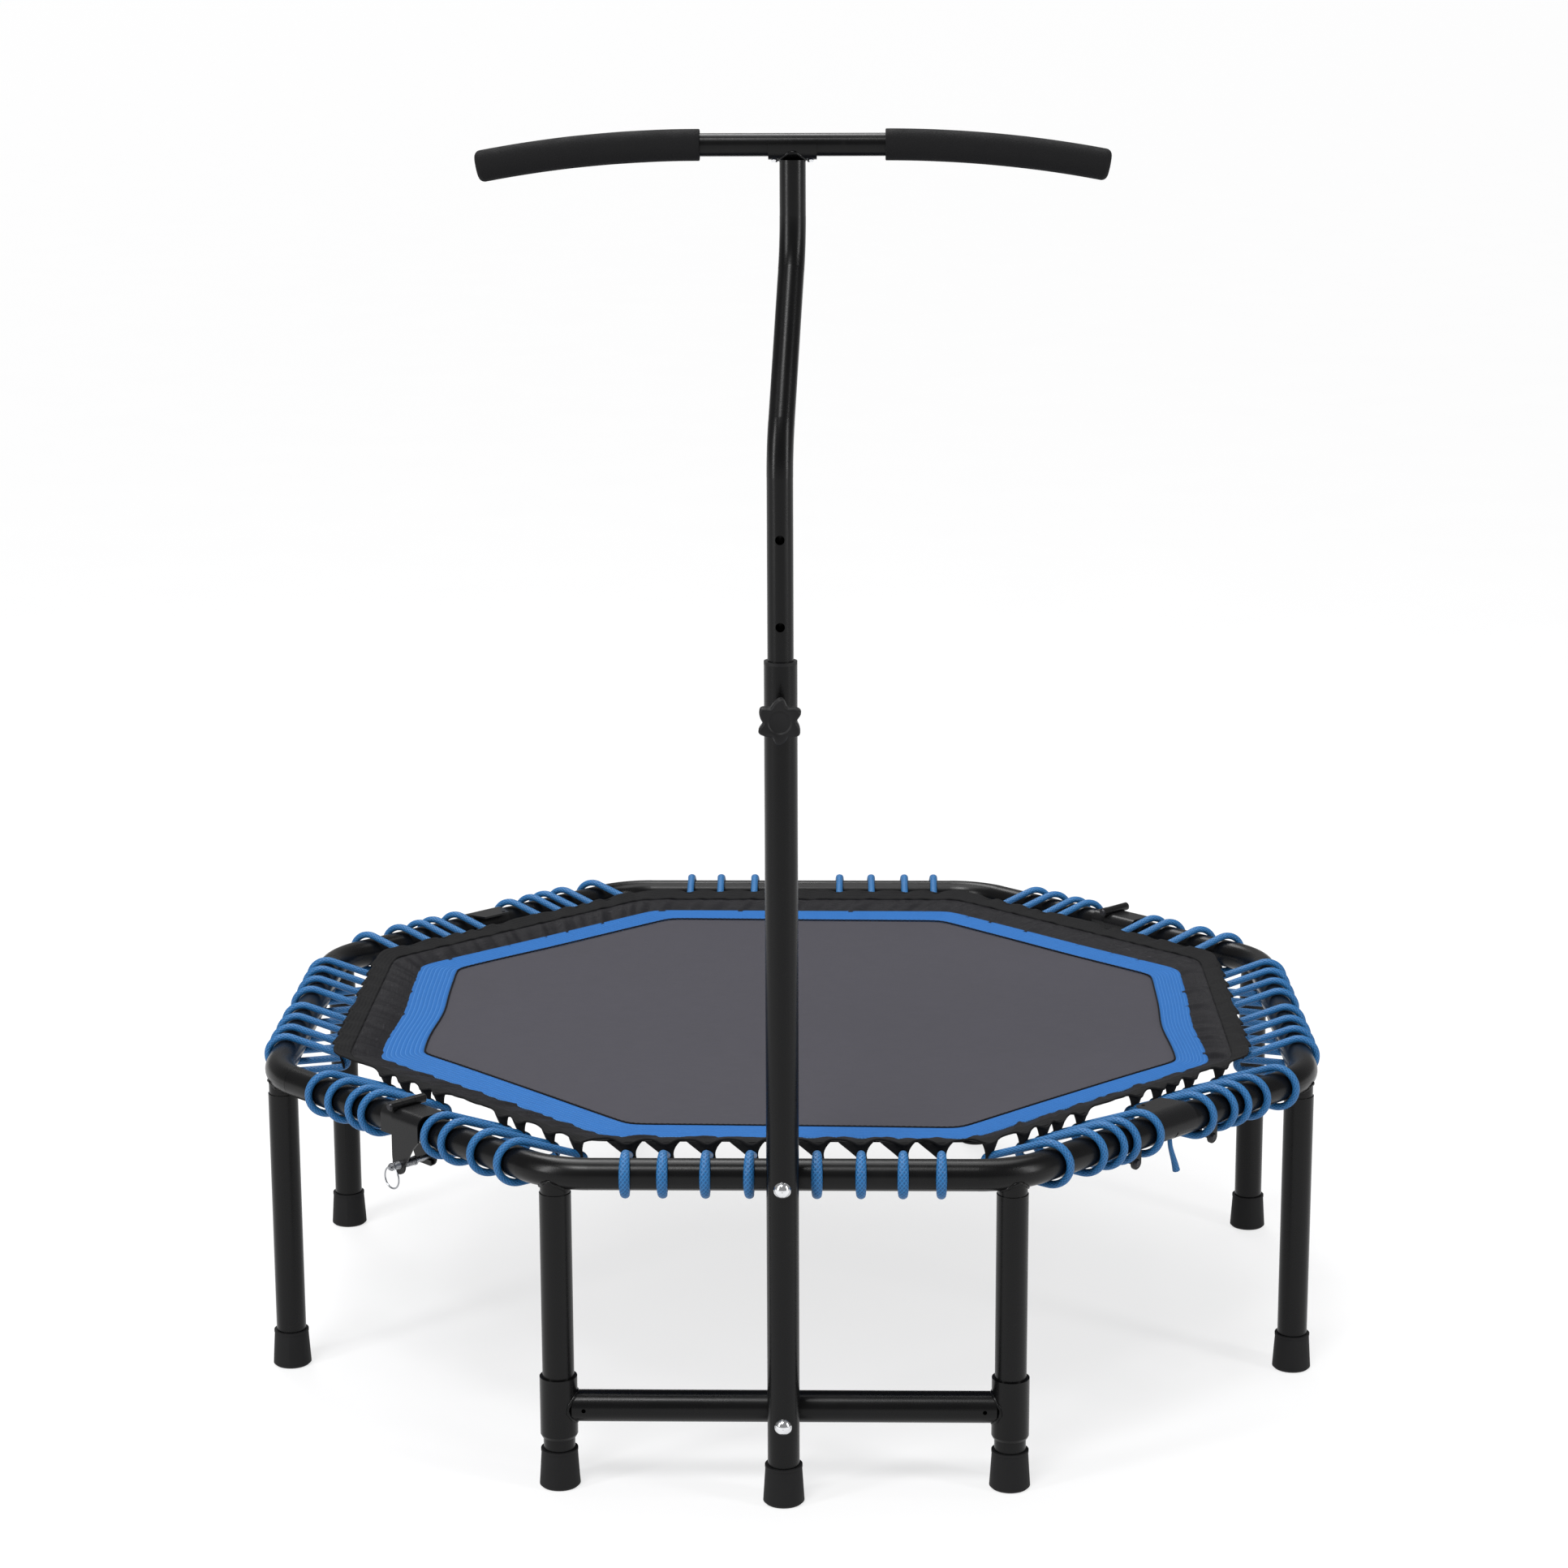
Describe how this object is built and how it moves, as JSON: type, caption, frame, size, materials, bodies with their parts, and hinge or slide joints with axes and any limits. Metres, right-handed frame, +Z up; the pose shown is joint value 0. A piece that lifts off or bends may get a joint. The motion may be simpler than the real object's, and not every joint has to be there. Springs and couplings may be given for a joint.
{
  "type": "mini trampoline",
  "caption": "Octagonal fitness trampoline on tubular legs, elastic cords round a stitched mat, fold hinges across one diagonal, and a height-adjustable T-handle.",
  "frame": {"origin": "middle of the footprint, on the floor", "axes": "+Z up, -Y towards the handle post, +X to the right seen from the handle"},
  "size_m": [1.1614, 1.2217, 1.347],
  "materials": {
    "powder_coat": "satin black powder coat",
    "foot_rubber": "matt moulded rubber",
    "black_nylon": "satin moulded nylon",
    "grip_foam": "fine closed-cell foam",
    "chrome_bolt": "polished",
    "zinc_hardware": "zinc plated",
    "black_rivet": "black oxide",
    "mat_weave": "tight woven polypropylene",
    "blue_webbing": "stitched woven webbing",
    "skirt_fabric": "gathered coated cloth",
    "elastic_cord": "braided elastic cord"
  },
  "bodies": {
    "fixed_half": {"front_rail": "powder_coat", "right_rail": "powder_coat", "fixed_leg_collars": "powder_coat", "front_left_leg": "powder_coat", "front_right_leg": "powder_coat", "right_front_leg": "powder_coat", "right_back_leg": "powder_coat", "fixed_feet": "foot_rubber", "post_foot": "foot_rubber", "crossbar": "powder_coat", "crossbar_left_sleeve": "powder_coat", "crossbar_right_sleeve": "powder_coat", "post": "powder_coat", "post_insert": "black_nylon", "post_spacer": "powder_coat", "post_bolts": "chrome_bolt", "post_nuts": "zinc_hardware", "knob_boss": "powder_coat", "front_hinge_cover": "powder_coat", "front_hinge_pin": "zinc_hardware", "front_lock_spring": "zinc_hardware", "back_hinge_cover": "powder_coat", "back_hinge_pin": "zinc_hardware", "back_lock_spring": "zinc_hardware", "right_bracket": "powder_coat", "right_bracket_pins": "black_rivet", "mat_fixed": "mat_weave", "band_fixed": "blue_webbing", "skirt_fixed": "skirt_fabric", "cords_fixed": "elastic_cord", "cord_tail": "elastic_cord"},
    "folding_half": {"back_rail": "powder_coat", "left_rail": "powder_coat", "folding_leg_collars": "powder_coat", "back_right_leg": "powder_coat", "back_left_leg": "powder_coat", "left_back_leg": "powder_coat", "left_front_leg": "powder_coat", "folding_feet": "foot_rubber", "front_hinge_collar": "powder_coat", "back_hinge_collar": "powder_coat", "left_bracket": "powder_coat", "left_bracket_pins": "black_rivet", "mat_folding": "mat_weave", "band_folding": "blue_webbing", "skirt_folding": "skirt_fabric", "cords_folding": "elastic_cord"},
    "handle": {"handle_tube": "powder_coat", "handle_glide": "black_nylon", "handle_bar": "powder_coat", "bar_saddle": "powder_coat", "saddle_screws": "chrome_bolt", "left_grip": "grip_foam", "right_grip": "grip_foam"},
    "knob": {"star_knob": "black_nylon", "knob_screw": "zinc_hardware"},
    "front_lock": {"front_lock_pin": "zinc_hardware"},
    "front_ring": {"front_pull_ring": "zinc_hardware"},
    "back_lock": {"back_lock_pin": "zinc_hardware"},
    "back_ring": {"back_pull_ring": "zinc_hardware"}
  },
  "joints": [
    {"name": "half_fold", "type": "hinge", "parent": "fixed_half", "child": "folding_half", "pos_m": [-0.39244, -0.36244, 0.3535], "axis": [0.7071, 0.7071, 0], "range_deg": [0, 160]},
    {"name": "handle_height", "type": "slide", "parent": "fixed_half", "child": "handle", "axis": [0, 0, 1], "range_m": [-0.166, 0.083]},
    {"name": "knob_turn", "type": "hinge", "parent": "fixed_half", "child": "knob", "pos_m": [0, -0.5872, 0.806], "axis": [0, 1, 0], "continuous": true},
    {"name": "front_lock_pull", "type": "slide", "parent": "fixed_half", "child": "front_lock", "axis": [-0.7071, -0.7071, 0], "range_m": [0, 0.008], "stiffness_N_per_m": 400, "springref_m": -0.004, "deforming": ["front_lock_spring"]},
    {"name": "front_ring_swing", "type": "hinge", "parent": "front_lock", "child": "front_ring", "pos_m": [-0.40616, -0.39172, 0.293], "axis": [-0.7071, 0.7071, 0], "range_deg": [-15, 90]},
    {"name": "back_lock_pull", "type": "slide", "parent": "fixed_half", "child": "back_lock", "axis": [0.7071, 0.7071, 0], "range_m": [0, 0.008], "stiffness_N_per_m": 400, "springref_m": -0.004, "deforming": ["back_lock_spring"]},
    {"name": "back_ring_swing", "type": "hinge", "parent": "back_lock", "child": "back_ring", "pos_m": [0.42172, 0.43616, 0.293], "axis": [0.7071, -0.7071, 0], "range_deg": [-15, 90]}
  ]
}
